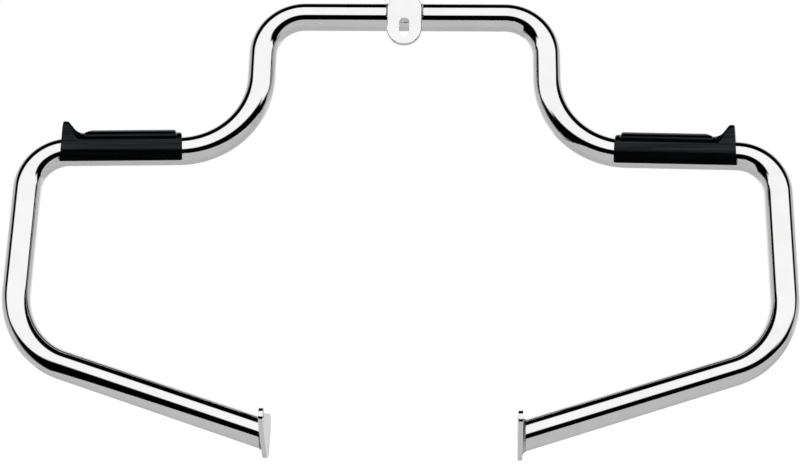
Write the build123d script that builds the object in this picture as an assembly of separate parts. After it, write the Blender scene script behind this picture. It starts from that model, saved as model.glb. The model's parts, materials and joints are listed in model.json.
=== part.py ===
"""Crash bar of a cruiser motorcycle, in millimetres.

One chromed steel tube runs from a lower frame lug, round one side, over the top and down to the other lug.
A slotted tab on the top run bolts to the front downtube, and a plate closes each lower end.
A moulded rubber foot pad is pressed over each level run.

The frame has +X to the rider's right, +Y forward and +Z up, as the bar stands on the machine.
The origin is the middle of the tab's slot, on the face that lies against the downtube.
"""
import os
from math import atan2, cos, degrees, radians, sin, tan

from build123d import *

os.makedirs("parts", exist_ok=True)

# Tube stock, and the two dies that it is bent on (radius at the tube's axis)
TUBE_OD = 31.75
TUBE_WALL = 2.4
TIGHT_BEND = 47.6
WIDE_BEND = 95.25

# Straight tube left between the bends
TOP_STRAIGHT = 227.0
NECK_STRAIGHT = 29.0
REST_STRAIGHT = 120.0
LEG_STRAIGHT = 118.0

# Direction of each run, in degrees: lean and sweep go rearward, flare goes outward, fall goes down
NECK_LEAN = 19.0
NECK_FLARE = 1.1
REST_SWEEP = 7.5
REST_FALL = 1.1
LEG_LEAN = 20.5
LEG_FLARE = 1.4
STAY_SWEEP = 21.0
STAY_FALL = 16.0

# Tab on the top run: it leans with the downtube, and its slot lies below the tube
TAB_LEAN = 26.0
TAB_WIDTH = 39.0
TAB_THICK = 4.76
TAB_TOE = 1.9
TAB_EDGE = 0.6
SLOT_DROP = 25.3
SLOT_WIDTH = 11.0
SLOT_LENGTH = 24.7
TAB_BEAD = 2.6
TAB_BEAD_LENGTH = 17.0

# End plates: a round foot under the tube, a toe ahead of it, and an ear behind with the bolt hole
# Their top edge falls a little toward the toe, and the ear stands above it
FRAME_WIDTH = 257.5
PLATE_THICK = 4.76
PLATE_MARGIN = 3.9
PLATE_TOP = 20.7
PLATE_TOP_FALL = 4.0
TOE_REACH = 36.0
TOE_ROUND = 12.0
EAR_REACH = 50.0
EAR_RISE = 20.5
EAR_RIM = 4.75
EAR_NECK_ROUND = 4.0
BOLT_HOLE = 10.5
PLATE_EDGE = 0.5
PLATE_BEAD = 3.5
BEAD_HOLLOW = 0.36

# Foot pads: a saddle with upright sides, a raised tread on top and a heel stop at the outer end
# The heel's flank hollows up from the saddle, then climbs straight at its steepness, in degrees
# Their outer end leans in from the lip to the heel's top
PAD_FIT = 0.2
PAD_WALL = 5.0
PAD_LENGTH = 135.5
PAD_LIP_DROP = 10.8
PAD_END_ROUND = 2.0
LEFT_PAD_START = -4.0
RIGHT_PAD_START = -13.5
TREAD_START = 6.2
TREAD_LENGTH = 93.8
TREAD_RAMP = 7.5
TREAD_RISE = 3.05
TREAD_WIDTH = 31.4
TREAD_ROUND = 3.5
TREAD_END_ROUND = 1.8
HEEL_HEIGHT = 13.2
HEEL_TOP = 5.8
HEEL_FLANK = 16.5
HEEL_STEEPNESS = 52.0
HEEL_LEAN = 4.0
HEEL_TOP_WIDTH = 27.0
HEEL_SHOULDER = 10.0
HEEL_ROUND = 2.4

TUBE_R = TUBE_OD / 2
PAD_R = TUBE_R + PAD_FIT + PAD_WALL

# Tab plane: local X is sideways, local Y climbs the downtube, local Z points rearward at the frame
tab_rear = Vector(0, -cos(radians(TAB_LEAN)), sin(radians(TAB_LEAN)))
tab_plane = Plane(origin=(0, 0, 0), x_dir=(1, 0, 0), z_dir=tab_rear)
top_centre = tab_plane.from_local_coords(Vector(0, SLOT_DROP, -TAB_THICK - TUBE_R))


def downward_run(lean, flare):
    """Unit direction of a run that goes down, rearward by lean and outward by flare."""
    return Vector(tan(radians(flare)), -tan(radians(lean)), -1).normalized()


def sideways_run(side, sweep, fall):
    """Unit direction of a run that goes outward (side 1) or inward (side -1), rearward and down."""
    return Vector(side, -tan(radians(sweep)), -tan(radians(fall))).normalized()


# Centreline of the right half, from the middle of the top run to the end plate's outer face
top_run = Vector(1, 0, 0)
neck_run = downward_run(NECK_LEAN, NECK_FLARE)
rest_run = sideways_run(1, REST_SWEEP, REST_FALL)
leg_run = downward_run(LEG_LEAN, LEG_FLARE)
stay_run = sideways_run(-1, STAY_SWEEP, STAY_FALL)


def bend_setback(before, after, bend):
    """Distance from a bend's corner to where its arc begins."""
    return bend * tan(radians(before.get_angle(after)) / 2)


shoulder_setback = bend_setback(top_run, neck_run, TIGHT_BEND)
neck_setback = bend_setback(neck_run, rest_run, WIDE_BEND)
outer_setback = bend_setback(rest_run, leg_run, TIGHT_BEND)
lower_setback = bend_setback(leg_run, stay_run, WIDE_BEND)

plate_face = FRAME_WIDTH / 2 + PLATE_THICK
shoulder = top_centre + top_run * (TOP_STRAIGHT / 2 + shoulder_setback)
neck_foot = shoulder + neck_run * (shoulder_setback + NECK_STRAIGHT + neck_setback)
outer_top = neck_foot + rest_run * (neck_setback + REST_STRAIGHT + outer_setback)
outer_foot = outer_top + leg_run * (outer_setback + LEG_STRAIGHT + lower_setback)
stay_slant = 1 / -stay_run.X
stay_end = outer_foot + stay_run * ((outer_foot.X - plate_face) * stay_slant)
stay_stock_end = stay_end + stay_run * TUBE_OD
rest_start = neck_foot + rest_run * neck_setback

half_points = [shoulder, neck_foot, outer_top, outer_foot, stay_stock_end]
half_bends = [TIGHT_BEND, WIDE_BEND, TIGHT_BEND, WIDE_BEND]


def other_side(point):
    """The same point on the left half."""
    return Vector(-point.X, point.Y, point.Z)


def both_sides(right_solid):
    """The left copy and the right original of a solid."""
    return mirror(right_solid, about=Plane.YZ), right_solid


centreline = FilletPolyline(
    *[other_side(point) for point in reversed(half_points)],
    *half_points,
    radius=half_bends[::-1] + half_bends,
)
stock_plane = Plane(origin=centreline @ 0, z_dir=centreline % 0)


def rod(radius):
    """Solid round bar along the whole centreline, over-long at the lower ends."""
    return sweep(stock_plane * Circle(radius), path=centreline)


# The tube, cut off square with the machine where it meets the plates
bar_rod = rod(TUBE_R)
bore_rod = rod(TUBE_R - TUBE_WALL)
trim_depth = 4 * TUBE_OD
end_trim = Pos(0, stay_end.Y, stay_end.Z) * Box(2 * plate_face, trim_depth, trim_depth)
bar_tube = bar_rod - bore_rod - end_trim


# Tab: a plate with round ends, the upper one centred on the line where it touches the tube
tab_middle = (SLOT_DROP - TAB_TOE) / 2
tab_outline = Pos(0, tab_middle) * SlotCenterToCenter(SLOT_DROP + TAB_TOE, TAB_WIDTH, rotation=90)
tab_slot = SlotOverall(SLOT_LENGTH, SLOT_WIDTH, rotation=90)
tab_blank = extrude(tab_outline - tab_slot, amount=-TAB_THICK)
tab_rear_rim = tab_blank.faces().sort_by(Axis.Z)[-1].edges()
centre_tab = tab_plane * chamfer(tab_rear_rim, TAB_EDGE)

# One bead runs down each straight side of the tab, in the corner with the tube
bead_reach = TAB_BEAD_LENGTH / 2 - TAB_BEAD
bead_foot = Vector(TAB_WIDTH / 2, SLOT_DROP - bead_reach, -TAB_THICK)
bead_head = Vector(TAB_WIDTH / 2, SLOT_DROP + bead_reach, -TAB_THICK)
bead_plane = Plane(origin=bead_foot, z_dir=(0, 1, 0))
bead = extrude(bead_plane * Circle(TAB_BEAD), amount=2 * bead_reach)
bead += [Pos(bead_foot) * Sphere(TAB_BEAD), Pos(bead_head) * Sphere(TAB_BEAD)]
tab_block = Pos(0, SLOT_DROP, -TAB_THICK) * Box(TAB_WIDTH, 2 * TAB_BEAD_LENGTH, 4 * TAB_BEAD)
top_rod = Pos(0, SLOT_DROP, -TAB_THICK - TUBE_R) * Rot(0, 90, 0) * Cylinder(TUBE_R, 2 * TAB_WIDTH)
tab_bead = tab_plane * (bead - tab_block - top_rod)

# End plate: foot, toe and ear are circles joined by their common tangents, cut level along the top
plate_round = TUBE_R * stay_slant + PLATE_BEAD + PLATE_MARGIN
ear_round = BOLT_HOLE / 2 + EAR_RIM
plate_plane = Plane(origin=(FRAME_WIDTH / 2, stay_end.Y, stay_end.Z), x_dir=(0, 1, 0), z_dir=(1, 0, 0))
ear_place = Pos(-EAR_REACH, EAR_RISE)
ear_disc = ear_place * Circle(ear_round)
toe_out = TOE_REACH - TOE_ROUND
toe_up = (PLATE_TOP - TOE_ROUND) / cos(radians(PLATE_TOP_FALL)) - toe_out * tan(radians(PLATE_TOP_FALL))
plate_circles = [Circle(plate_round), ear_disc, Pos(toe_out, toe_up) * Circle(TOE_ROUND)]
plate_hull = make_hull([circle.edge() for circle in plate_circles])
trim_side = 4 * EAR_REACH
top_trim = Rot(0, 0, -PLATE_TOP_FALL) * Pos(0, PLATE_TOP - trim_side / 2) * Rectangle(trim_side, trim_side)
plate_outline = (plate_hull & top_trim) + ear_disc
ear_neck = plate_outline.vertices().filter_by(lambda corner: -EAR_REACH < corner.X < 0).sort_by(Axis.Y)[-1]
plate_outline = fillet(ear_neck, EAR_NECK_ROUND)
plate_blank = extrude(plate_outline - ear_place * Circle(BOLT_HOLE / 2), amount=PLATE_THICK)
plate_rims = plate_blank.faces().sort_by(Axis.Z)[-1].outer_wire().edges()
plate_rims += plate_blank.faces().sort_by(Axis.Z)[0].outer_wire().edges()
end_plate = plate_plane * chamfer(plate_rims, PLATE_EDGE)


# The bead round the tube's slanted foot: a hollow fillet from the plate up to the tube
def bead_ring(height, leg):
    """Outline of the bead at a height over the plate, standing leg outside the tube."""
    centre = stay_end - stay_run * (height * stay_slant)
    turn = degrees(atan2(stay_run.Z, stay_run.Y))
    ring_plane = Plane(origin=centre, x_dir=(0, 1, 0), z_dir=(1, 0, 0))
    return ring_plane * Ellipse(TUBE_R * stay_slant + leg, TUBE_R + leg, rotation=turn)


hollow_leg = PLATE_BEAD * BEAD_HOLLOW
bead_rings = [bead_ring(0, PLATE_BEAD), bead_ring(hollow_leg, hollow_leg), bead_ring(PLATE_BEAD, 0)]
plate_bead = loft(bead_rings, ruled=True) - bar_rod

# Foot pad, first along X with its inner end at the origin, then set on the level run
pad_bore = rod(TUBE_R + PAD_FIT)


def foot_pad(start):
    """Right-hand pad whose inner end is start along the level run's straight."""
    heel_top = PAD_R + HEEL_HEIGHT
    heel_outer = PAD_LENGTH - HEEL_LEAN
    heel_inner = heel_outer - HEEL_TOP
    heel_foot = heel_inner - HEEL_FLANK
    pad_side = Polyline(
        (0, -PAD_LIP_DROP), (PAD_LENGTH, -PAD_LIP_DROP), (heel_outer, heel_top), (0, heel_top), close=True)
    pad_room = extrude(Plane.XZ * make_face(pad_side), amount=2 * PAD_R, both=True)

    saddle = Circle(PAD_R) + Pos(0, -PAD_R / 2) * Rectangle(2 * PAD_R, PAD_R)
    saddle -= Pos(0, -PAD_LIP_DROP - PAD_R) * Rectangle(2 * PAD_R, 2 * PAD_R)
    sleeve = extrude(Plane.YZ * saddle, amount=PAD_LENGTH)
    sleeve = fillet(sleeve.faces().sort_by(Axis.X)[0].edges(), PAD_END_ROUND)

    tread_top = PAD_R + TREAD_RISE
    tread_end = TREAD_START + TREAD_LENGTH
    tread_band = Circle(tread_top) & Pos(0, tread_top / 2) * Rectangle(TREAD_WIDTH, tread_top)
    tread_band = fillet(tread_band.vertices().group_by(Axis.Y)[-1], TREAD_ROUND)
    tread_side = Polyline(
        (TREAD_START, 0), (TREAD_START, tread_top), (tread_end, tread_top), (tread_end + TREAD_RAMP, PAD_R),
        (tread_end + TREAD_RAMP, 0), close=True)
    tread = extrude(Plane.YZ * tread_band, amount=PAD_LENGTH)
    tread &= extrude(Plane.XZ * make_face(tread_side), amount=TREAD_WIDTH, both=True)
    tread = fillet(tread.faces().sort_by(Axis.X)[0].edges().sort_by(Axis.Z)[1:], TREAD_END_ROUND)

    heel_arch = make_face(Polyline(
        (-PAD_R, 0), (-HEEL_TOP_WIDTH / 2, heel_top), (HEEL_TOP_WIDTH / 2, heel_top), (PAD_R, 0), close=True))
    heel = Pos(heel_foot, 0, 0) * extrude(Plane.YZ * heel_arch, amount=PAD_LENGTH) & pad_room
    steepness = radians(HEEL_STEEPNESS)
    flank_round = (HEEL_FLANK - HEEL_HEIGHT / tan(steepness)) / tan(steepness / 2)
    hollow_end = (heel_foot + flank_round * sin(steepness), PAD_R + flank_round * (1 - cos(steepness)))
    scoop_top = heel_top + HEEL_HEIGHT
    scoop_outer = heel_inner + HEEL_HEIGHT / tan(steepness)
    flank_hollow = TangentArc((heel_foot, PAD_R), hollow_end, tangent=(1, 0))
    scoop_rim = Polyline(hollow_end, (scoop_outer, scoop_top), (heel_foot, scoop_top), (heel_foot, PAD_R))
    heel -= revolve(Plane.XZ * make_face((flank_hollow + scoop_rim).edges()), axis=Axis.X)
    heel = fillet(heel.edges().group_by(Axis.Z)[-1], HEEL_ROUND)
    heel_roof = fillet(heel_arch.vertices().group_by(Axis.Y)[-1], HEEL_SHOULDER)
    heel &= extrude(Plane.YZ * heel_roof, amount=2 * PAD_LENGTH)

    rest_up = (Vector(0, 0, 1) - rest_run * rest_run.Z).normalized()
    rest_plane = Plane(origin=rest_start + rest_run * start, x_dir=rest_run, z_dir=rest_up)
    return rest_plane * ((sleeve & pad_room) + tread + heel) - pad_bore


left_tab_weld, right_tab_weld = both_sides(tab_bead)
left_end_plate, right_end_plate = both_sides(end_plate)
left_plate_weld, right_plate_weld = both_sides(plate_bead)

nodes = {
    "bar_tube": bar_tube,
    "centre_tab": centre_tab,
    "left_tab_weld": left_tab_weld,
    "right_tab_weld": right_tab_weld,
    "left_end_plate": left_end_plate,
    "right_end_plate": right_end_plate,
    "left_plate_weld": left_plate_weld,
    "right_plate_weld": right_plate_weld,
    "left_foot_pad": mirror(foot_pad(LEFT_PAD_START), about=Plane.YZ),
    "right_foot_pad": foot_pad(RIGHT_PAD_START),
}
for name, solid in nodes.items():
    export_step(solid, f"parts/{name}.step")
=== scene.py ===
import json
from math import atan2, cos, pi, radians, sin, sqrt, tan

import bmesh
import bpy
from mathutils import Matrix, Vector


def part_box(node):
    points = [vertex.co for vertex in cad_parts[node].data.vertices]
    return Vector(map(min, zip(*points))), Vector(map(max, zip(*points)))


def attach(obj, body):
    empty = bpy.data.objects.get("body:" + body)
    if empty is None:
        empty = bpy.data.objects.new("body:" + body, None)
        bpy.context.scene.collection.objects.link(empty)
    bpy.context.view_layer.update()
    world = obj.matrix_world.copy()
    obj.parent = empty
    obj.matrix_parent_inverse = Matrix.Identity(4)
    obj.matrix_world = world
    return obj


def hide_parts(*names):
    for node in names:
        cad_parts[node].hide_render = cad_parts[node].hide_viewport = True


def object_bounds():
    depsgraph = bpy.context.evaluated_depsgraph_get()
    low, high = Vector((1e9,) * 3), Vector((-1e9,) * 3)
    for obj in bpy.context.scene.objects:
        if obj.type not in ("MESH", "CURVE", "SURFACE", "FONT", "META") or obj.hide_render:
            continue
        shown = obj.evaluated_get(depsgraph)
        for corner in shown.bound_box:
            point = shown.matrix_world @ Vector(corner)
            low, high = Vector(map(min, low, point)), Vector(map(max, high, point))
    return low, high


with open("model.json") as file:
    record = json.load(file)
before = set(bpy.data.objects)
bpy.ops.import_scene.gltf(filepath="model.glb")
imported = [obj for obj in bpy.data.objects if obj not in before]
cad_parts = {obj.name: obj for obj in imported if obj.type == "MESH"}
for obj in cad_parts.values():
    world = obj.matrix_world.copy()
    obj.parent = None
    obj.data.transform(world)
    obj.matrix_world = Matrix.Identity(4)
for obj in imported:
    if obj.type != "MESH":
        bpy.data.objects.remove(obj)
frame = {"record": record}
cad_low, cad_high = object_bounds()
mounts = {mount["name"]: mount for mount in frame["record"]["mounts"]}

# Bar: one length of steel tube, 31.75 mm across, bent cold on two dies, then polished and chromed.
# It runs from one lower frame lug, round that side, over the top and down to the other lug.
# The right half is drawn as a skin along its bends, given its wall, cut off at the plate and mirrored.
TUBE_R = 0.03175 / 2
TUBE_WALL = 0.0024
TUBE_SIDES = 72
TIGHT_BEND = 0.0476
WIDE_BEND = 0.09525
BEND_STEPS = 30
TOP_STRAIGHT = 0.227
NECK_STRAIGHT = 0.029
REST_STRAIGHT = 0.120
LEG_STRAIGHT = 0.118
RING_INSET = 0.003
NECK_LEAN = radians(19.0)
NECK_FLARE = radians(1.1)
REST_SWEEP = radians(7.5)
REST_FALL = radians(1.1)
LEG_LEAN = radians(20.5)
LEG_FLARE = radians(1.4)
STAY_SWEEP = radians(21.0)
STAY_FALL = radians(16.0)
SLOT_DROP = 0.0253
TAB_THICK = 0.00476
SMOOTH_ANGLE = radians(35)
SAME_PLACE = 1e-7
ON_PLANE = 1e-6
CHROME_TINTS = ((0.853, 0.852, 0.85, 1), (0.893, 0.892, 0.89, 1))
CLOUD_SCALE = 34
CLOUD_DETAIL = 5
CLOUD_EDGES = (0.3, 0.6)
SHINE_EDGES = (0.3, 0.7)
SHINE_SHARES = (1.6, 0.6)
RIPPLE_DETAIL = 2
TUBE_ROUGH = 0.05
TUBE_RIPPLE_SCALE = 30
TUBE_RIPPLE_HEIGHT = 0.00005

tab_rear = Vector(mounts["tab_slot"]["axis"])
tab_up = tab_rear.cross(Vector((1, 0, 0)))
top_centre = tab_up * SLOT_DROP - tab_rear * (TAB_THICK + TUBE_R)
plate_low, plate_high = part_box("right_end_plate")
plate_face = plate_high.x


def downward_run(lean, flare):
    """Direction of a run that goes down, rearward by lean and outward by flare."""
    return Vector((tan(flare), -tan(lean), -1)).normalized()


def sideways_run(side, sweep, fall):
    """Direction of a run that goes outward (side 1) or inward (side -1), rearward and down."""
    return Vector((side, -tan(sweep), -tan(fall))).normalized()


top_run = Vector((1, 0, 0))
neck_run = downward_run(NECK_LEAN, NECK_FLARE)
rest_run = sideways_run(1, REST_SWEEP, REST_FALL)
leg_run = downward_run(LEG_LEAN, LEG_FLARE)
stay_run = sideways_run(-1, STAY_SWEEP, STAY_FALL)
stay_slant = 1 / -stay_run.x
bent_stretches = [
    (top_run, TOP_STRAIGHT / 2, TIGHT_BEND, neck_run),
    (neck_run, NECK_STRAIGHT, WIDE_BEND, rest_run),
    (rest_run, REST_STRAIGHT, TIGHT_BEND, leg_run),
    (leg_run, LEG_STRAIGHT, WIDE_BEND, stay_run),
]


def settle(name):
    """The primitive just added, under its name, with its place moved into its mesh."""
    piece = bpy.context.active_object
    piece.name = name
    piece.data.name = name
    bpy.ops.object.transform_apply(location=True, rotation=True, scale=True)
    return piece


def push(way):
    """In edit mode, draws what is selected out along a way."""
    bpy.ops.mesh.extrude_region_move(TRANSFORM_OT_translate={"value": way})


def face_outwards():
    """In edit mode, turns every face of a closed shape outwards."""
    bpy.ops.mesh.select_all(action="SELECT")
    bpy.ops.mesh.normals_make_consistent(inside=False)


def push_ring(run, length):
    """Draws the ring out along a straight, with a ring close to each end to keep the bends out of it."""
    push(run * RING_INSET)
    push(run * (length - 2 * RING_INSET))
    push(run * RING_INSET)


def bend_from(place, run, bend, next_run):
    """Axis, middle and angle of the bend that begins at a place, and the place where it ends."""
    axis = run.cross(next_run).normalized()
    centre = place + axis.cross(run) * bend
    turn = run.angle(next_run)
    return axis, centre, turn, centre + Matrix.Rotation(turn, 3, axis) @ (place - centre)


def bent_half(name, radius):
    """Skin of the right half of the bar at a radius, from the middle of the top run to past the plate."""
    bpy.ops.object.select_all(action="DESELECT")
    bpy.ops.mesh.primitive_circle_add(
        vertices=TUBE_SIDES, radius=radius, location=top_centre, rotation=(0, pi / 2, 0))
    skin = settle(name)
    bpy.ops.object.mode_set(mode="EDIT")
    bpy.ops.mesh.select_all(action="SELECT")
    place = top_centre.copy()
    for run, straight, bend, next_run in bent_stretches:
        push_ring(run, straight)
        axis, centre, turn, place = bend_from(place + run * straight, run, bend, next_run)
        bpy.ops.mesh.spin(steps=BEND_STEPS, angle=-turn, center=centre, axis=axis)
    stay_length = (place.x - plate_face) * stay_slant
    push_ring(stay_run, stay_length + 2 * TUBE_R)
    bpy.ops.mesh.select_all(action="SELECT")
    bpy.ops.mesh.remove_doubles(threshold=SAME_PLACE)
    face_outwards()
    bpy.ops.object.mode_set(mode="OBJECT")
    return skin


def apply_modifier(piece, kind, **settings):
    """Adds one modifier to a piece, sets it and applies it."""
    modifier = piece.modifiers.new(kind.lower(), kind)
    for setting, value in settings.items():
        setattr(modifier, setting, value)
    bpy.context.view_layer.objects.active = piece
    bpy.ops.object.modifier_apply(modifier=modifier.name)


def select_points(piece, wanted):
    """In edit mode, selects the points whose place is wanted."""
    bpy.ops.mesh.select_mode(type="VERT")
    bpy.ops.mesh.select_all(action="DESELECT")
    cage = bmesh.from_edit_mesh(piece.data)
    for point in cage.verts:
        point.select = wanted(point.co)
    cage.select_flush(True)
    bmesh.update_edit_mesh(piece.data)


def pick(piece):
    """Selects one piece alone and makes it the active one."""
    bpy.ops.object.select_all(action="DESELECT")
    piece.select_set(True)
    bpy.context.view_layer.objects.active = piece


def polish(piece):
    """Shades a finished piece smooth, with its true edges left sharp."""
    pick(piece)
    bpy.ops.object.shade_smooth_by_angle(angle=SMOOTH_ANGLE)


bar = bent_half("chrome_bar", TUBE_R)
apply_modifier(bar, "SOLIDIFY", thickness=TUBE_WALL, offset=-1, use_rim=False)
bpy.ops.object.mode_set(mode="EDIT")
stay_top = mounts["right_plate_face"]["pos_m"][2] + WIDE_BEND
select_points(bar, lambda point: point.z < stay_top)
bpy.ops.mesh.bisect(plane_co=(plate_face, 0, 0), plane_no=(1, 0, 0), clear_inner=True)
bpy.ops.mesh.bridge_edge_loops()
bpy.ops.object.mode_set(mode="OBJECT")
apply_modifier(bar, "MIRROR", merge_threshold=ON_PLANE)
polish(bar)


def soft_noise(tree, place, scale, detail):
    """Soft random patches of a scale, laid over a place's coordinates."""
    noise = tree.nodes.new("ShaderNodeTexNoise")
    noise.inputs["Scale"].default_value = scale
    noise.inputs["Detail"].default_value = detail
    tree.links.new(place, noise.inputs["Vector"])
    return noise.outputs["Fac"]


def two_tone(tree, source, ends, tints):
    """A blend of two tints as the source goes from one end to the other."""
    ramp = tree.nodes.new("ShaderNodeValToRGB")
    for stop, position, tint in zip(ramp.color_ramp.elements, ends, tints):
        stop.position = position
        stop.color = tint
    tree.links.new(source, ramp.inputs["Fac"])
    return ramp.outputs["Color"]


def ranged(tree, source, ends, values, interpolation="LINEAR"):
    """A change between two values as the source goes from one end to the other."""
    step = tree.nodes.new("ShaderNodeMapRange")
    step.interpolation_type = interpolation
    step.inputs["From Min"].default_value, step.inputs["From Max"].default_value = ends
    step.inputs["To Min"].default_value, step.inputs["To Max"].default_value = values
    tree.links.new(source, step.inputs["Value"])
    return step.outputs["Result"]


def fine_relief(tree, source, strength, height):
    """Small unevenness of a height that only the light shows."""
    bump = tree.nodes.new("ShaderNodeBump")
    bump.inputs["Strength"].default_value = strength
    bump.inputs["Distance"].default_value = height
    tree.links.new(source, bump.inputs["Height"])
    return bump.outputs["Normal"]


def chrome(name, tints, rough, ripple_scale, ripple_height):
    """Polished chrome plate: faint clouding in its shine, and the slight waves that polishing leaves."""
    finish = bpy.data.materials.new(name)
    finish.use_nodes = True
    tree = finish.node_tree
    shader = tree.nodes["Principled BSDF"]
    shader.inputs["Metallic"].default_value = 1
    place = tree.nodes.new("ShaderNodeTexCoord").outputs["Object"]
    clouds = soft_noise(tree, place, CLOUD_SCALE, CLOUD_DETAIL)
    tree.links.new(two_tone(tree, clouds, CLOUD_EDGES, tints), shader.inputs["Base Color"])
    shine = [rough * share for share in SHINE_SHARES]
    tree.links.new(ranged(tree, clouds, SHINE_EDGES, shine), shader.inputs["Roughness"])
    waves = soft_noise(tree, place, ripple_scale, RIPPLE_DETAIL)
    tree.links.new(fine_relief(tree, waves, 1, ripple_height), shader.inputs["Normal"])
    return finish


bar.data.materials.append(chrome(
    "polished_tube_chrome", CHROME_TINTS, TUBE_ROUGH, TUBE_RIPPLE_SCALE, TUBE_RIPPLE_HEIGHT))
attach(bar, "root")
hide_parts("bar_tube")

# Centre tab: a flat steel tongue with round ends, welded on the rear of the top run and chromed with it.
# It leans with the front downtube, and its slot takes the bolt that holds the bar's top.
TAB_WIDTH = 0.039
TAB_TOE = 0.0019
TAB_EDGE = 0.0006
SLOT_EDGE = 0.0002
TAB_SIDES = 64
SLOT_WIDTH = 0.011
SLOT_LENGTH = 0.0247
SLOT_CATCH = 0.6 * SLOT_WIDTH
SHARP_ANGLE = radians(60)
PLATE_ROUGH = 0.06
PLATE_RIPPLE_SCALE = 60
PLATE_RIPPLE_HEIGHT = 0.00004

slot_reach = (SLOT_LENGTH - SLOT_WIDTH) / 2
tab_head = Vector((0, SLOT_DROP, 0))
tab_foot = Vector((0, -TAB_TOE, 0))


def select_edges(piece, wanted):
    """In edit mode, selects the edges that are wanted."""
    bpy.ops.mesh.select_mode(type="EDGE")
    bpy.ops.mesh.select_all(action="DESELECT")
    cage = bmesh.from_edit_mesh(piece.data)
    for edge in cage.edges:
        edge.select = wanted(edge)
    bmesh.update_edit_mesh(piece.data)


def set_down(piece, origin, along_x, along_z):
    """Moves a piece made about the origin to its place, with its own X and Z turned to two directions."""
    along_y = along_z.cross(along_x)
    turn = Matrix((along_x, along_y, along_z)).transposed().to_4x4()
    pick(piece)
    piece.matrix_world = Matrix.Translation(origin) @ turn
    bpy.ops.object.transform_apply(location=True, rotation=True, scale=True)


bpy.ops.object.select_all(action="DESELECT")
bpy.ops.mesh.primitive_circle_add(
    vertices=TAB_SIDES, radius=TAB_WIDTH / 2, fill_type="NGON", location=tab_foot,
    rotation=(0, 0, pi / TAB_SIDES))
tab = settle("centre_tab_plate")
bpy.ops.object.mode_set(mode="EDIT")
select_points(tab, lambda point: point.y > -TAB_TOE)
bpy.ops.transform.translate(value=tab_head - tab_foot)
bpy.ops.mesh.select_all(action="SELECT")
bpy.ops.mesh.inset(thickness=(TAB_WIDTH - SLOT_WIDTH) / 2)
bpy.ops.mesh.delete(type="ONLY_FACE")
select_points(tab, lambda point: (point - tab_head).length < SLOT_CATCH)
bpy.ops.transform.translate(value=(0, slot_reach - SLOT_DROP, 0))
select_points(tab, lambda point: (point - tab_foot).length < SLOT_CATCH and point.y < -TAB_TOE)
bpy.ops.transform.translate(value=(0, TAB_TOE - slot_reach, 0))
bpy.ops.mesh.select_all(action="SELECT")
push(Vector((0, 0, -TAB_THICK)))
face_outwards()


def off_slot(point):
    """Distance of a point of the tab from the slot's middle line."""
    return Vector((point.x, point.y - min(max(point.y, -slot_reach), slot_reach))).length


def on_tab_rim(edge, low, high):
    """Whether an edge runs round a flat side of the tab, between two distances from the slot's line."""
    level = abs(edge.verts[0].co.z - edge.verts[1].co.z) < SAME_PLACE
    within = all(low < off_slot(point.co) < high for point in edge.verts)
    return level and within and edge.calc_face_angle(0) > SHARP_ANGLE


for rim_edge, low, high in ((SLOT_EDGE, 0, SLOT_WIDTH), (TAB_EDGE, SLOT_WIDTH, 2 * TAB_WIDTH)):
    select_edges(tab, lambda edge: on_tab_rim(edge, low, high))
    bpy.ops.mesh.bevel(offset=rim_edge, segments=1, affect="EDGES")
bpy.ops.object.mode_set(mode="OBJECT")
set_down(tab, Vector((0, 0, 0)), Vector((1, 0, 0)), tab_rear)
polish(tab)
plate_chrome = chrome(
    "polished_plate_chrome", CHROME_TINTS, PLATE_ROUGH, PLATE_RIPPLE_SCALE, PLATE_RIPPLE_HEIGHT)
tab.data.materials.append(plate_chrome)
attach(tab, "root")
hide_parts("centre_tab")

# Tab welds: one short bead down each side of the tab, in the corner with the tube, chromed over.
# Each bead is thick where it starts and stops, thin between, and has the ripples of its hand-laid drops.
TAB_BEAD = 0.0026
TAB_BEAD_WAIST = 0.6
TAB_BEAD_LENGTH = 0.017
TAB_BEAD_RINGS = 40
TAB_BEAD_DROPS = 9
TAB_BEAD_RIPPLE = 0.05
TAB_BEAD_BLUNTNESS = 8
TAB_BEAD_TIP = 0.02
BEAD_SIDES = 24
WELD_TINTS = ((0.16, 0.16, 0.165, 1), (0.62, 0.625, 0.63, 1))
WELD_ROUGH = 0.12
WELD_RIPPLE_SCALE = 420
WELD_RIPPLE_HEIGHT = 0.0001


def bead_radius(share):
    """Radius of the tab's bead at a share of its length: round ends, a waist and ripples."""
    off_middle = 2 * share - 1
    swell = TAB_BEAD_WAIST + (1 - TAB_BEAD_WAIST) * off_middle ** 2
    ends = sqrt(max(1 - off_middle ** TAB_BEAD_BLUNTNESS, TAB_BEAD_TIP))
    return TAB_BEAD * swell * ends * (1 + TAB_BEAD_RIPPLE * cos(2 * pi * TAB_BEAD_DROPS * share))


bpy.ops.object.select_all(action="DESELECT")
bpy.ops.mesh.primitive_circle_add(
    vertices=BEAD_SIDES, radius=bead_radius(0), fill_type="NGON", rotation=(pi / 2, 0, 0),
    location=(TAB_WIDTH / 2, SLOT_DROP - TAB_BEAD_LENGTH / 2, -TAB_THICK))
bead = settle("tab_bead")
bpy.ops.object.mode_set(mode="EDIT")
bpy.ops.mesh.select_all(action="SELECT")
for ring in range(TAB_BEAD_RINGS):
    push(Vector((0, TAB_BEAD_LENGTH / TAB_BEAD_RINGS, 0)))
    growth = bead_radius((ring + 1) / TAB_BEAD_RINGS) / bead_radius(ring / TAB_BEAD_RINGS)
    climb = SLOT_DROP - TAB_BEAD_LENGTH / 2 + TAB_BEAD_LENGTH * (ring + 1) / TAB_BEAD_RINGS
    bpy.ops.transform.resize(
        value=(growth, 1, growth), center_override=(TAB_WIDTH / 2, climb, -TAB_THICK))
face_outwards()
bpy.ops.object.mode_set(mode="OBJECT")


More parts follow.
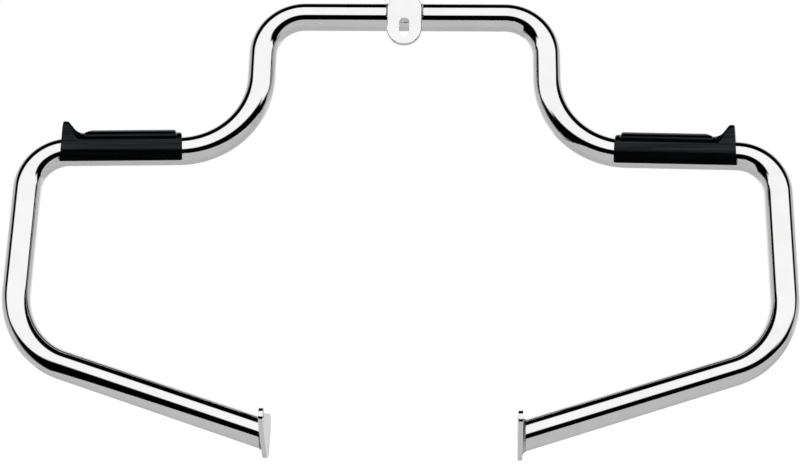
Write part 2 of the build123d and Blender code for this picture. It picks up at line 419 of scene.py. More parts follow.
def cut_with(piece, tool, operation="DIFFERENCE"):
    """Cuts a piece with a tool, or joins the two, and throws the tool away."""
    apply_modifier(piece, "BOOLEAN", object=tool, operation=operation, solver="EXACT")
    bpy.data.objects.remove(tool)


bpy.ops.object.select_all(action="DESELECT")
bpy.ops.mesh.primitive_cylinder_add(
    vertices=TUBE_SIDES, radius=TUBE_R, depth=2 * TAB_WIDTH, rotation=(0, pi / 2, 0),
    location=(TAB_WIDTH / 2, SLOT_DROP, -TAB_THICK - TUBE_R))
cut_with(bead, settle("tube_cutter"))
bpy.ops.mesh.primitive_cube_add(size=TAB_WIDTH, location=(0, SLOT_DROP, -TAB_THICK))
cut_with(bead, settle("tab_cutter"))
set_down(bead, Vector((0, 0, 0)), Vector((1, 0, 0)), tab_rear)
polish(bead)
weld_chrome = chrome("chromed_weld", WELD_TINTS, WELD_ROUGH, WELD_RIPPLE_SCALE, WELD_RIPPLE_HEIGHT)
bead.data.materials.append(weld_chrome)


def copy_of(piece, name):
    """A copy of a piece under its own name, with its own mesh."""
    copy = piece.copy()
    copy.data = piece.data.copy()
    copy.name = name
    copy.data.name = name
    bpy.context.scene.collection.objects.link(copy)
    return copy


def other_side(piece, name):
    """A copy of a right-hand piece, mirrored to the left."""
    copy = copy_of(piece, name)
    pick(copy)
    copy.scale.x = -1
    bpy.ops.object.transform_apply(location=True, rotation=True, scale=True)
    bpy.ops.object.mode_set(mode="EDIT")
    face_outwards()
    bpy.ops.object.mode_set(mode="OBJECT")
    polish(copy)
    return copy


bead.name = "right_tab_bead"
for side, tab_bead in (("right", bead), ("left", other_side(bead, "left_tab_bead"))):
    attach(tab_bead, "root")
    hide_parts(side + "_tab_weld")

# End plates: flat steel, a round foot under each end of the tube with a toe ahead and an ear behind.
# They are cut with their edges broken, welded square to the machine and chromed with the bar.
# The ear stands above the plate's top edge and has the bolt hole.
PLATE_TOP = 0.0207
PLATE_TOP_FALL = radians(4)
TOE_ROUND = 0.012
EAR_NECK_ROUND = 0.004
PLATE_EDGE = 0.0003
HOLE_EDGE = 0.0004
EDGE_SEGMENTS = 3
FOOT_SIDES = 120
EAR_SIDES = 96
FLAT_ANGLE = radians(0.5)
HOLE_CATCH = 1.2
MM_IN_METRE = 1000

foot = Vector(mounts["right_plate_face"]["pos_m"])
ear = Vector(mounts["right_bolt_hole"]["pos_m"])
hole_radius = mounts["right_bolt_hole"]["dims"]["r_mm"] / MM_IN_METRE
plate_middle = (plate_low.x + plate_high.x) / 2
plate_thick = plate_high.x - plate_low.x
foot_radius = foot.z - plate_low.z
ear_radius = ear.y - plate_low.y
top_normal = Vector((0, sin(PLATE_TOP_FALL), cos(PLATE_TOP_FALL)))
top_way = Vector((0, cos(PLATE_TOP_FALL), -sin(PLATE_TOP_FALL)))
toe_out = plate_high.y - foot.y - TOE_ROUND
toe_up = (PLATE_TOP - TOE_ROUND) / cos(PLATE_TOP_FALL) - toe_out * tan(PLATE_TOP_FALL)
toe = foot + Vector((0, toe_out, toe_up))

neck_reach = ear_radius + EAR_NECK_ROUND
neck_height = PLATE_TOP + EAR_NECK_ROUND - (ear - foot).dot(top_normal)
neck_out = (ear - foot).dot(top_way) + sqrt(neck_reach ** 2 - neck_height ** 2)
neck_round = foot + top_way * neck_out + top_normal * (PLATE_TOP + EAR_NECK_ROUND)
neck_foot = neck_round - top_normal * EAR_NECK_ROUND
neck_side = neck_round + (ear - neck_round) * (EAR_NECK_ROUND / neck_reach)


def upright_disc(name, radius, sides, centre, depth):
    """A round blank that lies in the plates' plane."""
    bpy.ops.object.select_all(action="DESELECT")
    bpy.ops.mesh.primitive_cylinder_add(
        vertices=sides, radius=radius, depth=depth, rotation=(0, pi / 2, 0),
        location=(plate_middle, centre.y, centre.z))
    return settle(name)


def on_flat_rim(edge):
    """Whether an edge runs round a flat side of the plate."""
    level = abs(edge.verts[0].co.x - edge.verts[1].co.x) < ON_PLANE
    return level and edge.calc_face_angle(0) > SHARP_ANGLE


def round_hole(edge):
    """Whether an edge lies on the bolt hole."""
    return all((point.co - ear).yz.length < HOLE_CATCH * hole_radius for point in edge.verts)


def block(name, low, high):
    """A plain block between two corners, to be shaped further."""
    bpy.ops.object.select_all(action="DESELECT")
    bpy.ops.mesh.primitive_cube_add(size=1, location=(low + high) / 2)
    bpy.context.active_object.scale = high - low
    return settle(name)


def cut_off(place, normal):
    """In edit mode, cuts off all that lies ahead of a plane and closes the cut."""
    bpy.ops.mesh.select_all(action="SELECT")
    bpy.ops.mesh.bisect(
        plane_co=place, plane_no=normal, use_fill=True, clear_outer=True, threshold=ON_PLANE)


plate = upright_disc("right_plate", foot_radius, FOOT_SIDES, foot, plate_thick)
toe_disc = upright_disc("toe_blank", TOE_ROUND, EAR_SIDES, toe, plate_thick)
ear_disc = upright_disc("ear_blank", ear_radius, EAR_SIDES, ear, plate_thick)
for blank in (plate, toe_disc, ear_disc):
    blank.select_set(True)
bpy.context.view_layer.objects.active = plate
bpy.ops.object.join()
bpy.ops.object.mode_set(mode="EDIT")
bpy.ops.mesh.select_all(action="SELECT")
bpy.ops.mesh.convex_hull()
bpy.ops.mesh.select_all(action="SELECT")
bpy.ops.mesh.dissolve_limited(angle_limit=FLAT_ANGLE)
cut_off(foot + top_normal * PLATE_TOP, top_normal)
face_outwards()
bpy.ops.object.mode_set(mode="OBJECT")
cut_with(plate, upright_disc("ear_blank", ear_radius, EAR_SIDES, ear, plate_thick), "UNION")
neck_fill = block(
    "neck_fill", Vector((plate_low.x, ear.y, ear.z)), Vector((plate_high.x, neck_foot.y, neck_side.z)))
cut_with(neck_fill, upright_disc("neck_cutter", EAR_NECK_ROUND, EAR_SIDES, neck_round, 3 * plate_thick))
cut_with(plate, neck_fill, "UNION")
bpy.ops.object.mode_set(mode="EDIT")
bpy.ops.mesh.select_all(action="SELECT")
bpy.ops.mesh.dissolve_limited(angle_limit=FLAT_ANGLE)
bpy.ops.object.mode_set(mode="OBJECT")
cut_with(plate, upright_disc("hole_cutter", hole_radius, EAR_SIDES, ear, 3 * plate_thick))
bpy.ops.object.mode_set(mode="EDIT")
select_edges(plate, lambda edge: on_flat_rim(edge) and not round_hole(edge))
bpy.ops.mesh.bevel(offset=PLATE_EDGE, segments=EDGE_SEGMENTS, affect="EDGES")
select_edges(plate, lambda edge: on_flat_rim(edge) and round_hole(edge))
bpy.ops.mesh.bevel(offset=HOLE_EDGE, segments=EDGE_SEGMENTS, affect="EDGES")
bpy.ops.object.mode_set(mode="OBJECT")
polish(plate)
plate.data.materials.append(plate_chrome)
for side, end_plate in (("right", plate), ("left", other_side(plate, "left_plate"))):
    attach(end_plate, "root")
    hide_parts(side + "_end_plate")

# Plate welds: one bead all round the tube's slanted foot, a hollow fillet from the plate up to the tube.
# It is laid by hand in small drops, smoothed before plating and chromed over.
PLATE_BEAD = 0.0035
PLATE_BEAD_LIP = 0.0003
PLATE_BEAD_DROPS = 60
PLATE_BEAD_RIPPLE = 0.00015
DROP_COLUMNS = 4
DROP_CREST = 0.6
FILLET_STEPS = 7

fillet_bow = PLATE_BEAD - PLATE_BEAD_LIP
fillet = []
for step in range(FILLET_STEPS + 1):
    swing = pi / 2 * step / FILLET_STEPS
    fillet.append((PLATE_BEAD - fillet_bow * sin(swing), PLATE_BEAD - fillet_bow * cos(swing)))
bead_profile = [(PLATE_BEAD, 0)] + fillet + [(0, PLATE_BEAD), (0, 0)]
stay_lean = Vector((0, -stay_run.y, -stay_run.z)).normalized()
stay_drift = sqrt(1 - stay_run.x ** 2) * stay_slant


def ring_reach(leg):
    """Half the length and half the width of the bead's outline, standing leg outside the tube."""
    return TUBE_R * stay_slant + leg, TUBE_R + leg


bpy.ops.object.select_all(action="DESELECT")
bpy.ops.mesh.primitive_circle_add(vertices=PLATE_BEAD_DROPS * DROP_COLUMNS, radius=1)
ring_bead = bpy.context.active_object
ring_bead.scale = (*ring_reach(PLATE_BEAD), 1)
ring_bead = settle("right_plate_bead")
bpy.ops.object.mode_set(mode="EDIT")
bpy.ops.mesh.select_all(action="SELECT")
for (leg, rise), (next_leg, next_rise) in zip(bead_profile, bead_profile[1:]):
    climb = next_rise - rise
    push(Vector((climb * stay_drift, 0, climb)))
    growth = [new / old for new, old in zip(ring_reach(next_leg), ring_reach(leg))]
    bpy.ops.transform.resize(value=(*growth, 1), center_override=(next_rise * stay_drift, 0, next_rise))
select_points(ring_bead, lambda point: abs(point.z) < SAME_PLACE)
bpy.ops.mesh.bridge_edge_loops()
face_outwards()


def on_drop(point):
    """Whether a point of the ring lies on the crest of a drop, clear of the tube and the plate."""
    share = atan2(point.y, point.x - point.z * stay_drift) / (2 * pi) * PLATE_BEAD_DROPS
    crest = abs(share - round(share)) < DROP_CREST / DROP_COLUMNS
    return crest and PLATE_BEAD_LIP < point.z < PLATE_BEAD - PLATE_BEAD_LIP


select_points(ring_bead, on_drop)
bpy.ops.transform.shrink_fatten(value=PLATE_BEAD_RIPPLE)
bpy.ops.object.mode_set(mode="OBJECT")
set_down(ring_bead, Vector((plate_face, foot.y, foot.z)), stay_lean, Vector((1, 0, 0)))
polish(ring_bead)
ring_bead.data.materials.append(weld_chrome)
for side, plate_bead in (("right", ring_bead), ("left", other_side(ring_bead, "left_plate_bead"))):
    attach(plate_bead, "root")
    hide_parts(side + "_plate_weld")

# Foot pads: black moulded rubber saddles with upright sides, open below, pressed over the level runs.
# Each has a raised tread along its top and a heel stop at its outer end, all in one moulding.
# The parts of the moulding are joined, its edges are softened, and then it is bored for the tube.
PAD_FIT = 0.0002
PAD_WALL = 0.005
PAD_R = TUBE_R + PAD_FIT + PAD_WALL
PAD_LENGTH = 0.1355
PAD_LIP_DROP = 0.0108
PAD_END_ROUND = 0.002
PAD_SIDES = 96
PAD_STARTS = {"left": -0.004, "right": -0.0135}
TREAD_START = 0.0062
TREAD_LENGTH = 0.0938
TREAD_RAMP = 0.0075
TREAD_HEIGHT = 0.00305
TREAD_TOP = PAD_R + TREAD_HEIGHT
TREAD_WIDTH = 0.0314
TREAD_ROUND = 0.0035
TREAD_END_ROUND = 0.0028
TREAD_STEPS = 24
HEEL_HEIGHT = 0.0132
HEEL_TOP = PAD_R + HEEL_HEIGHT
HEEL_TOP_LENGTH = 0.0058
HEEL_FLANK = 0.0165
HEEL_STEEPNESS = radians(52)
HEEL_LEAN = 0.004
HEEL_TOP_WIDTH = 0.027
HEEL_SHOULDER = 0.010
SHOULDER_SEGMENTS = 16
HEEL_SOFT_DEPTH = 0.006
HEEL_SOFTENING = 36
ROUND_SEGMENTS = 6
MOULD_GRAIN = 0.0005
MOULD_SMOOTHING = 2
MOULD_SOFTNESS = 0.5
UNDERSIDE_FACING = 0.9
# Where the painted shade lies: on the heel's flank and in a band beside the tread's foot.
FLANK_FACING = 0.25
CORNER_LOW = 0.0131
CORNER_HIGH = 0.0168
CORNER_REACH = 0.012
CORNER_CLIMB = 0.4
BLOOM_SCALE = 40
BLOOM_DETAIL = 6
BLOOM_EDGES = (0.35, 0.7)
BLOOM_TINTS = ((0.0006, 0.0006, 0.0007, 1), (0.0014, 0.0015, 0.0018, 1))
FLOW_SCALE = (9, 9, 420)
STREAK_DETAIL = 3
STREAK_EDGES = (0.3, 0.7)
SHEEN_EDGES = (0.38, 0.6)
SHEEN_TINTS = ((0.36, 0.43, 0.5, 1), (0.78, 0.93, 1, 1))
GRAIN_SCALE = 1500
GRAIN_DETAIL = 3
GRAIN_STRENGTH = 0.5
GRAIN_HEIGHT = 0.00008
SATIN_SHINE = 0.345
SATIN_ROUGH = (0.1, 0.26)
# Painted shade: a barely shining, rough rubber finish that makes the moulding's corners read dark, as if in
# shadow.
CORNER_SHADE_SHINE = 0.04
CORNER_SHADE_ROUGH = (0.7, 0.9)

heel_outer = PAD_LENGTH - HEEL_LEAN
heel_inner = heel_outer - HEEL_TOP_LENGTH
heel_foot = heel_inner - HEEL_FLANK
flank_radius = (HEEL_FLANK - HEEL_HEIGHT / tan(HEEL_STEEPNESS)) / tan(HEEL_STEEPNESS / 2)
flank_climb = 2 * HEEL_HEIGHT - flank_radius * (1 - cos(HEEL_STEEPNESS))
tread_end = TREAD_START + TREAD_LENGTH


def select_faces(piece, wanted):
    """In edit mode, selects the faces whose middle and normal are wanted."""
    bpy.ops.mesh.select_mode(type="FACE")
    bpy.ops.mesh.select_all(action="DESELECT")
    cage = bmesh.from_edit_mesh(piece.data)
    for face in cage.faces:
        face.select = wanted(face.calc_center_median(), face.normal)
    cage.select_flush(True)
    bmesh.update_edit_mesh(piece.data)


def lean_outer_end():
    """In edit mode, cuts the outer end so that it leans in from the lip to the heel's top."""
    cut_off((PAD_LENGTH, 0, -PAD_LIP_DROP), (PAD_LIP_DROP + HEEL_TOP, 0, HEEL_LEAN))


def start_point(name, place):
    """One point at a place, left in edit mode to be drawn out into an outline."""
    bpy.ops.object.select_all(action="DESELECT")
    bpy.ops.mesh.primitive_plane_add(size=PAD_R, location=place)
    piece = settle(name)
    bpy.ops.object.mode_set(mode="EDIT")
    bpy.ops.mesh.select_mode(type="VERT")
    bpy.ops.mesh.select_all(action="SELECT")
    bpy.ops.mesh.merge(type="CENTER")
    return piece


bpy.ops.object.select_all(action="DESELECT")
bpy.ops.mesh.primitive_cylinder_add(
    vertices=PAD_SIDES, radius=PAD_R, depth=PAD_LENGTH, rotation=(0, pi / 2, 0),
    location=(PAD_LENGTH / 2, 0, 0))
pad_body = settle("pad_body")
bpy.ops.object.mode_set(mode="EDIT")
cut_off((0, 0, 0), (0, 0, -1))
select_faces(pad_body, lambda middle, normal: normal.z < -UNDERSIDE_FACING)
push(Vector((0, 0, -PAD_LIP_DROP)))
face_outwards()
select_edges(pad_body, lambda edge: all(abs(point.co.x) < ON_PLANE for point in edge.verts))
bpy.ops.mesh.bevel(offset=PAD_END_ROUND, segments=ROUND_SEGMENTS, affect="EDGES")
lean_outer_end()
bpy.ops.object.mode_set(mode="OBJECT")

band_turn = Vector((TREAD_WIDTH / 2 - TREAD_ROUND, 0))
band_turn.y = sqrt((TREAD_TOP - TREAD_ROUND) ** 2 - band_turn.x ** 2)
corner_angle = atan2(band_turn.y, band_turn.x)
tread = start_point("tread", (TREAD_START, TREAD_WIDTH / 2, 0))
push(Vector((0, 0, band_turn.y)))
for angle, centre_y, centre_z in (
        (corner_angle, band_turn.x, band_turn.y), (pi - 2 * corner_angle, 0, 0),
        (corner_angle, -band_turn.x, band_turn.y)):
    centre = (TREAD_START, centre_y, centre_z)
    bpy.ops.mesh.spin(steps=TREAD_STEPS, angle=-angle, center=centre, axis=(1, 0, 0))
push(Vector((0, 0, -band_turn.y)))
bpy.ops.mesh.select_all(action="SELECT")
bpy.ops.mesh.remove_doubles(threshold=SAME_PLACE)
bpy.ops.mesh.edge_face_add()
push(Vector((TREAD_LENGTH + TREAD_RAMP, 0, 0)))
face_outwards()
cut_off((tread_end, 0, TREAD_TOP), (TREAD_TOP - PAD_R, 0, TREAD_RAMP))


def on_inner_rim(edge):
    """Whether an edge runs round the tread's inner end, above the middle of the tube."""
    at_end = all(abs(point.co.x - TREAD_START) < ON_PLANE for point in edge.verts)
    return at_end and any(point.co.z > ON_PLANE for point in edge.verts)


select_edges(tread, on_inner_rim)
bpy.ops.mesh.bevel(offset=TREAD_END_ROUND, segments=ROUND_SEGMENTS, affect="EDGES")
bpy.ops.object.mode_set(mode="OBJECT")
cut_with(pad_body, tread, "UNION")

heel = block("heel", Vector((heel_foot, -PAD_R, 0)), Vector((PAD_LENGTH, PAD_R, HEEL_TOP)))
bpy.ops.object.mode_set(mode="EDIT")
select_points(heel, lambda point: point.z > PAD_R)
bpy.ops.transform.resize(value=(1, HEEL_TOP_WIDTH / (2 * PAD_R), 1), center_override=(0, 0, HEEL_TOP))
shoulder_turn = pi / 2 - atan2(PAD_R - HEEL_TOP_WIDTH / 2, HEEL_TOP)
select_edges(heel, lambda edge: all(point.co.z > PAD_R for point in edge.verts) and abs(
    edge.verts[0].co.x - edge.verts[1].co.x) > HEEL_TOP_LENGTH)
bpy.ops.mesh.bevel(
    offset=HEEL_SHOULDER * tan(shoulder_turn / 2), segments=SHOULDER_SEGMENTS, affect="EDGES")
lean_outer_end()
bpy.ops.object.mode_set(mode="OBJECT")

scoop = start_point("flank_cutter", (heel_foot - HEEL_FLANK, 0, PAD_R))
push(Vector((HEEL_FLANK, 0, 0)))
bpy.ops.mesh.spin(
    steps=TREAD_STEPS, angle=-HEEL_STEEPNESS, center=(heel_foot, 0, PAD_R + flank_radius), axis=(0, -1, 0))
push(Vector((flank_climb / tan(HEEL_STEEPNESS), 0, flank_climb)))
push(Vector((heel_foot - heel_inner - HEEL_FLANK - HEEL_HEIGHT / tan(HEEL_STEEPNESS), 0, 0)))
push(Vector((0, 0, -2 * HEEL_HEIGHT)))
bpy.ops.mesh.select_all(action="SELECT")
bpy.ops.mesh.remove_doubles(threshold=SAME_PLACE)
bpy.ops.mesh.select_all(action="SELECT")
bpy.ops.mesh.spin(steps=2 * PAD_SIDES, angle=2 * pi, center=(0, 0, 0), axis=(1, 0, 0))
bpy.ops.mesh.select_all(action="SELECT")
bpy.ops.mesh.remove_doubles(threshold=SAME_PLACE)
face_outwards()
bpy.ops.object.mode_set(mode="OBJECT")
cut_with(heel, scoop)
cut_with(pad_body, heel, "UNION")
apply_modifier(pad_body, "REMESH", mode="VOXEL", voxel_size=MOULD_GRAIN)
apply_modifier(pad_body, "SMOOTH", factor=MOULD_SOFTNESS, iterations=MOULD_SMOOTHING)
bpy.ops.object.mode_set(mode="EDIT")
select_points(pad_body, lambda point: point.z > HEEL_TOP - HEEL_SOFT_DEPTH)
bpy.ops.mesh.vertices_smooth(factor=MOULD_SOFTNESS, repeat=HEEL_SOFTENING)
bpy.ops.object.mode_set(mode="OBJECT")


def rubber(name, shine, rough):
    """Black moulded rubber: a little grey bloom, a fine grain and streaks along the pad where it flowed."""
    finish = bpy.data.materials.new(name)
    finish.use_nodes = True
    tree = finish.node_tree
    shader = tree.nodes["Principled BSDF"]
    shader.inputs["Specular IOR Level"].default_value = shine
    place = tree.nodes.new("ShaderNodeTexCoord").outputs["Object"]
    bloom = soft_noise(tree, place, BLOOM_SCALE, BLOOM_DETAIL)
    tree.links.new(two_tone(tree, bloom, BLOOM_EDGES, BLOOM_TINTS), shader.inputs["Base Color"])
    flow = tree.nodes.new("ShaderNodeMapping")
    flow.inputs["Scale"].default_value = FLOW_SCALE
    tree.links.new(place, flow.inputs["Vector"])
    streaks = soft_noise(tree, flow.outputs["Vector"], 1, STREAK_DETAIL)
    tree.links.new(ranged(tree, streaks, STREAK_EDGES, rough), shader.inputs["Roughness"])
    tree.links.new(two_tone(tree, streaks, SHEEN_EDGES, SHEEN_TINTS), shader.inputs["Specular Tint"])
    grain = soft_noise(tree, place, GRAIN_SCALE, GRAIN_DETAIL)
    tree.links.new(fine_relief(tree, grain, GRAIN_STRENGTH, GRAIN_HEIGHT), shader.inputs["Normal"])
    return finish


def in_painted_corner_shade(middle, normal):
    """Whether a face takes the painted shade: on the heel's flank or along the tread's foot, where the
    moulding's corners lie in shade.
    """
    above_foot = middle.z - CORNER_LOW > CORNER_CLIMB * max(middle.x - heel_foot, 0)
    on_flank = normal.x < -FLANK_FACING and middle.x > heel_foot - HEEL_FLANK
    beside_tread = middle.x > TREAD_START and abs(middle.y) > CORNER_REACH and middle.z < CORNER_HIGH
    return above_foot and (on_flank or beside_tread)


pad_body.data.materials.append(rubber("satin_black_rubber", SATIN_SHINE, SATIN_ROUGH))
# Painted shade: a second, barely shining rubber on the heel's flank and beside the tread's foot, so these
# corners read dark as in shadow.
pad_body.data.materials.append(rubber("rubber_painted_corner_shade", CORNER_SHADE_SHINE, CORNER_SHADE_ROUGH))
bpy.ops.object.mode_set(mode="EDIT")
select_faces(pad_body, in_painted_corner_shade)
pad_body.active_material_index = 1
bpy.ops.object.material_slot_assign()
bpy.ops.object.mode_set(mode="OBJECT")

shoulder_end = bend_from(top_centre + top_run * (TOP_STRAIGHT / 2), top_run, TIGHT_BEND, neck_run)[-1]
rest_start = bend_from(shoulder_end + neck_run * NECK_STRAIGHT, neck_run, WIDE_BEND, rest_run)[-1]
rest_up = (Vector((0, 0, 1)) - rest_run * rest_run.z).normalized()


def fitted_pad(name, start):
    """A right-hand pad set on the level run with its inner end at start and bored for the tube."""
    pad = copy_of(pad_body, name)
    set_down(pad, rest_start + rest_run * start, rest_run, rest_up)
    bore = bent_half("bore_cutter", TUBE_R + PAD_FIT)
    bpy.ops.object.mode_set(mode="EDIT")
    bpy.ops.mesh.select_all(action="SELECT")
    bpy.ops.mesh.fill_holes(sides=0)
    face_outwards()
    bpy.ops.object.mode_set(mode="OBJECT")
    cut_with(pad, bore)
    polish(pad)
    return pad


right_pad = fitted_pad("right_pad", PAD_STARTS["right"])
left_pad = other_side(fitted_pad("left_pad_blank", PAD_STARTS["left"]), "left_pad")
bpy.data.objects.remove(bpy.data.objects["left_pad_blank"])
bpy.data.objects.remove(pad_body)
for side, pad in (("right", right_pad), ("left", left_pad)):
    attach(pad, "root")
    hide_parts(side + "_foot_pad")

# Camera: it stands behind the bar and looks forward, a little to the right of the bar's middle.
# Its lens, its turns and its offset from the middle of the top run are fitted to the photographed view.
CAMERA_OFFSET = Vector((0.0998, -2.797497, -0.253297))
CAMERA_LENS = 110.28
CAMERA_SENSOR = 36
CAMERA_YAW = radians(-2.127)
CAMERA_PITCH = radians(-0.167)
CAMERA_ROLL = radians(0.42)

bpy.ops.object.camera_add()
camera = bpy.context.active_object
camera.data.lens = CAMERA_LENS
camera.data.sensor_width = CAMERA_SENSOR
camera.data.sensor_fit = "HORIZONTAL"
to_camera = Matrix.Rotation(CAMERA_ROLL, 3, "Y") @ Matrix.Rotation(CAMERA_PITCH, 3, "X") @ Matrix.Rotation(
    CAMERA_YAW, 3, "Z")
camera_right, camera_forward, camera_top = to_camera
camera.matrix_world = Matrix.Translation(top_centre + CAMERA_OFFSET) @ Matrix(
    (camera_right, camera_top, -camera_forward)).transposed().to_4x4()
bpy.context.scene.camera = camera

# Floor: a plain pale sheet well below the bar, which takes its soft shadow and fades to white all round.
# It reaches far enough to fill the view from every side.
FLOOR_DROP = 0.33
FLOOR_SIZE = 30
FLOOR_COLOUR = (0.9, 0.9, 0.9, 1)
FLOOR_FADE = (1.2, 2.7)
FLOOR_WHITE_SHARE = 0.6
FLOOR_WHITE = 1.06
STAGE_GAP = 0.001


def matt_paint(name, glow):
    """Plain pale paint that is mixed with an even glow, and the share of the glow, still to be joined."""
    paint = bpy.data.materials.new(name)
    paint.use_nodes = True
    nodes = paint.node_tree.nodes
    links = paint.node_tree.links
    shader = nodes["Principled BSDF"]
    shader.inputs["Base Color"].default_value = FLOOR_COLOUR
    shader.inputs["Roughness"].default_value = 1
    shader.inputs["Specular IOR Level"].default_value = 0
    light = nodes.new("ShaderNodeEmission")
    light.inputs["Strength"].default_value = glow
    mix = nodes.new("ShaderNodeMixShader")
    links.new(shader.outputs[0], mix.inputs[1])
    links.new(light.outputs[0], mix.inputs[2])
    links.new(mix.outputs[0], nodes["Material Output"].inputs["Surface"])
    return paint, mix.inputs["Fac"]


bpy.ops.object.select_all(action="DESELECT")
bpy.ops.mesh.primitive_plane_add(size=FLOOR_SIZE, location=(0, 0, cad_low.z - FLOOR_DROP - STAGE_GAP))
floor = settle("floor")
floor_paint, floor_share = matt_paint("pale_floor", FLOOR_WHITE)
floor_tree = floor_paint.node_tree
floor_place = floor_tree.nodes.new("ShaderNodeTexCoord")
floor_reach = floor_tree.nodes.new("ShaderNodeVectorMath")
floor_reach.operation = "LENGTH"
floor_tree.links.new(floor_place.outputs["Object"], floor_reach.inputs[0])
floor_fade = ranged(
    floor_tree, floor_reach.outputs["Value"], FLOOR_FADE, (FLOOR_WHITE_SHARE, 1), "SMOOTHSTEP")
floor_tree.links.new(floor_fade, floor_share)
floor.data.materials.append(floor_paint)
floor.visible_glossy = False

# Table: the pale table top that the chrome mirrors from below, shown in reflections alone.
# Its left edge flares out towards the camera.
# Its near edge has a gap in the middle and ends on the right.
TABLE_NEAR = -2.05
TABLE_FAR = 9.0
TABLE_LEFT = -0.9
TABLE_RIGHT = 7.0
FLARE_START = -0.3
FLARE_REACH = 0.6
GAP_END = -1.6
GAP_LEFT = -0.42
GAP_RIGHT = 0.3
STRIP_RIGHT = 1.5
TABLE_GLOW = 0.7
TABLE_SWEEP = (0.7, 2.6)
TABLE_FRONT = (0.4, -0.3)
TABLE_SHARES = (0.16, 0.36)

bpy.ops.object.select_all(action="DESELECT")
bpy.ops.mesh.primitive_plane_add(
    size=1, location=((TABLE_LEFT + TABLE_RIGHT) / 2, (TABLE_NEAR + TABLE_FAR) / 2, cad_low.z - FLOOR_DROP))
bpy.context.active_object.scale = (TABLE_RIGHT - TABLE_LEFT, TABLE_FAR - TABLE_NEAR, 1)
table = settle("table")
bpy.ops.object.mode_set(mode="EDIT")


def score(place, normal):
    """In edit mode, draws a line across the whole mesh where a plane meets it."""
    bpy.ops.mesh.select_all(action="SELECT")
    bpy.ops.mesh.bisect(plane_co=place, plane_no=normal)


score((0, FLARE_START, 0), (0, 1, 0))
select_points(table, lambda point: point.x < 0 and point.y < GAP_END)
bpy.ops.transform.translate(value=(-FLARE_REACH, 0, 0))
score((0, GAP_END, 0), (0, 1, 0))
for line_x in (GAP_LEFT, GAP_RIGHT, STRIP_RIGHT):
    score((line_x, 0, 0), (1, 0, 0))
select_faces(table, lambda middle, normal: middle.y < GAP_END and (
    GAP_LEFT < middle.x < GAP_RIGHT or middle.x > STRIP_RIGHT))
bpy.ops.mesh.delete(type="FACE")
bpy.ops.object.mode_set(mode="OBJECT")
table_paint, table_share = matt_paint("table_top", TABLE_GLOW)
table_tree = table_paint.node_tree
table_place = table_tree.nodes.new("ShaderNodeTexCoord")
table_ways = table_tree.nodes.new("ShaderNodeSeparateXYZ")
table_tree.links.new(table_place.outputs["Object"], table_ways.inputs["Vector"])
brightest = table_tree.nodes.new("ShaderNodeMath")
brightest.operation = "MAXIMUM"
for zone_index, (ends, values) in enumerate(((TABLE_FRONT, TABLE_SHARES), (TABLE_SWEEP, (0, 1)))):
    zone = ranged(table_tree, table_ways.outputs["Y"], ends, values, "SMOOTHSTEP")
    table_tree.links.new(zone, brightest.inputs[zone_index])
table_tree.links.new(brightest.outputs[0], table_share)
table.data.materials.append(table_paint)
table.visible_camera = False
table.visible_diffuse = False
table.visible_shadow = False

# Studio light: one wide soft box above the camera's side of the bar, its low edge arched up on each side.
# The room round the camera and above the bar is dark, and a pale backdrop stands beyond the bar.
# Where the camera looks past the floor it sees plain white.
BOX_LOW_EDGE = 0.24
BOX_EDGE_BLUR = 0.05
BOX_SIDE_LIFT = 0.11
BOX_LIFT_ENDS = (0.1, 0.45)
BOX_FAR_DROP = 0.13
BOX_DROP_ENDS = (0.68, 0.86)
BOX_DEPTH_ENDS = (-0.06, -0.16)
BOX_LIGHT = 1.04
CEILING_RISE_ENDS = (-0.15, 0.16)
CEILING_DEPTH_ENDS = (-0.15, -0.08)
DARK_ROOM_ENDS = (0.12, -0.12)
BACKDROP_LIGHT = 0.55
BACKDROP_GAIN = 0.4
BACKDROP_ENDS = (0.6, 1.0)
STUDIO_TURN = radians(-4.5)
WHITE = (1, 1, 1, 1)

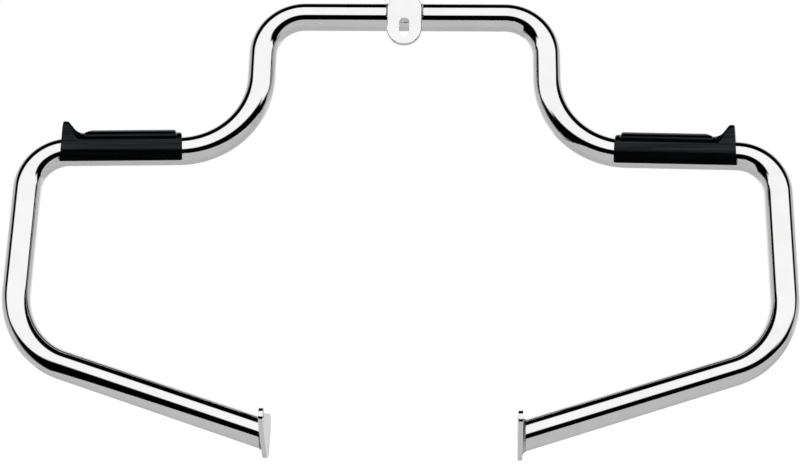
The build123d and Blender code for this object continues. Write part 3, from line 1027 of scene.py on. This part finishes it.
world = bpy.data.worlds.new("studio")
bpy.context.scene.world = world
world.use_nodes = True
sky_nodes = world.node_tree.nodes
sky_links = world.node_tree.links
sky = sky_nodes["Background"]
direction = sky_nodes.new("ShaderNodeTexCoord")
turned = sky_nodes.new("ShaderNodeMapping")
turned.inputs["Rotation"].default_value = (0, 0, STUDIO_TURN)
sky_links.new(direction.outputs["Generated"], turned.inputs["Vector"])
parts = sky_nodes.new("ShaderNodeSeparateXYZ")
sky_links.new(turned.outputs["Vector"], parts.inputs["Vector"])


def fade(source, ends):
    """A soft step from 0 to 1 as the source goes from one end to the other."""
    return ranged(world.node_tree, source, ends, (0, 1), "SMOOTHSTEP")


def combine(operation, first, second):
    """One step of reckoning with two values, each a socket or a plain number."""
    node = sky_nodes.new("ShaderNodeMath")
    node.operation = operation
    for slot_index, value in enumerate((first, second)):
        if isinstance(value, (int, float)):
            node.inputs[slot_index].default_value = value
        else:
            sky_links.new(value, node.inputs[slot_index])
    return node.outputs[0]


ahead = parts.outputs["Y"]
height = parts.outputs["Z"]
aside = combine("ABSOLUTE", parts.outputs["X"], 0)
lift = combine("MULTIPLY", fade(aside, BOX_LIFT_ENDS), BOX_SIDE_LIFT)
drop = combine("MULTIPLY", fade(aside, BOX_DROP_ENDS), BOX_FAR_DROP)
over_edge = combine("SUBTRACT", height, combine("SUBTRACT", lift, drop))
edge_ends = (BOX_LOW_EDGE - BOX_EDGE_BLUR, BOX_LOW_EDGE + BOX_EDGE_BLUR)
soft_box = combine("MULTIPLY", fade(over_edge, edge_ends), fade(ahead, BOX_DEPTH_ENDS))
rise = combine("SUBTRACT", height, ahead)
ceiling = combine("MULTIPLY", fade(rise, CEILING_RISE_ENDS), fade(ahead, CEILING_DEPTH_ENDS))
dark_room = combine("MULTIPLY", fade(ahead, DARK_ROOM_ENDS), combine("SUBTRACT", 1, soft_box))
backdrop = combine("ADD", BACKDROP_LIGHT, combine("MULTIPLY", fade(ahead, BACKDROP_ENDS), BACKDROP_GAIN))
dimmed = combine("MULTIPLY", backdrop, combine("SUBTRACT", 1, combine("MAXIMUM", ceiling, dark_room)))
light = combine("MAXIMUM", dimmed, combine("MULTIPLY", soft_box, BOX_LIGHT))
rays = sky_nodes.new("ShaderNodeLightPath")
sky_links.new(combine("MAXIMUM", light, rays.outputs["Is Camera Ray"]), sky.inputs["Strength"])
sky.inputs["Color"].default_value = WHITE

bpy.context.scene.view_settings.view_transform = "Standard"
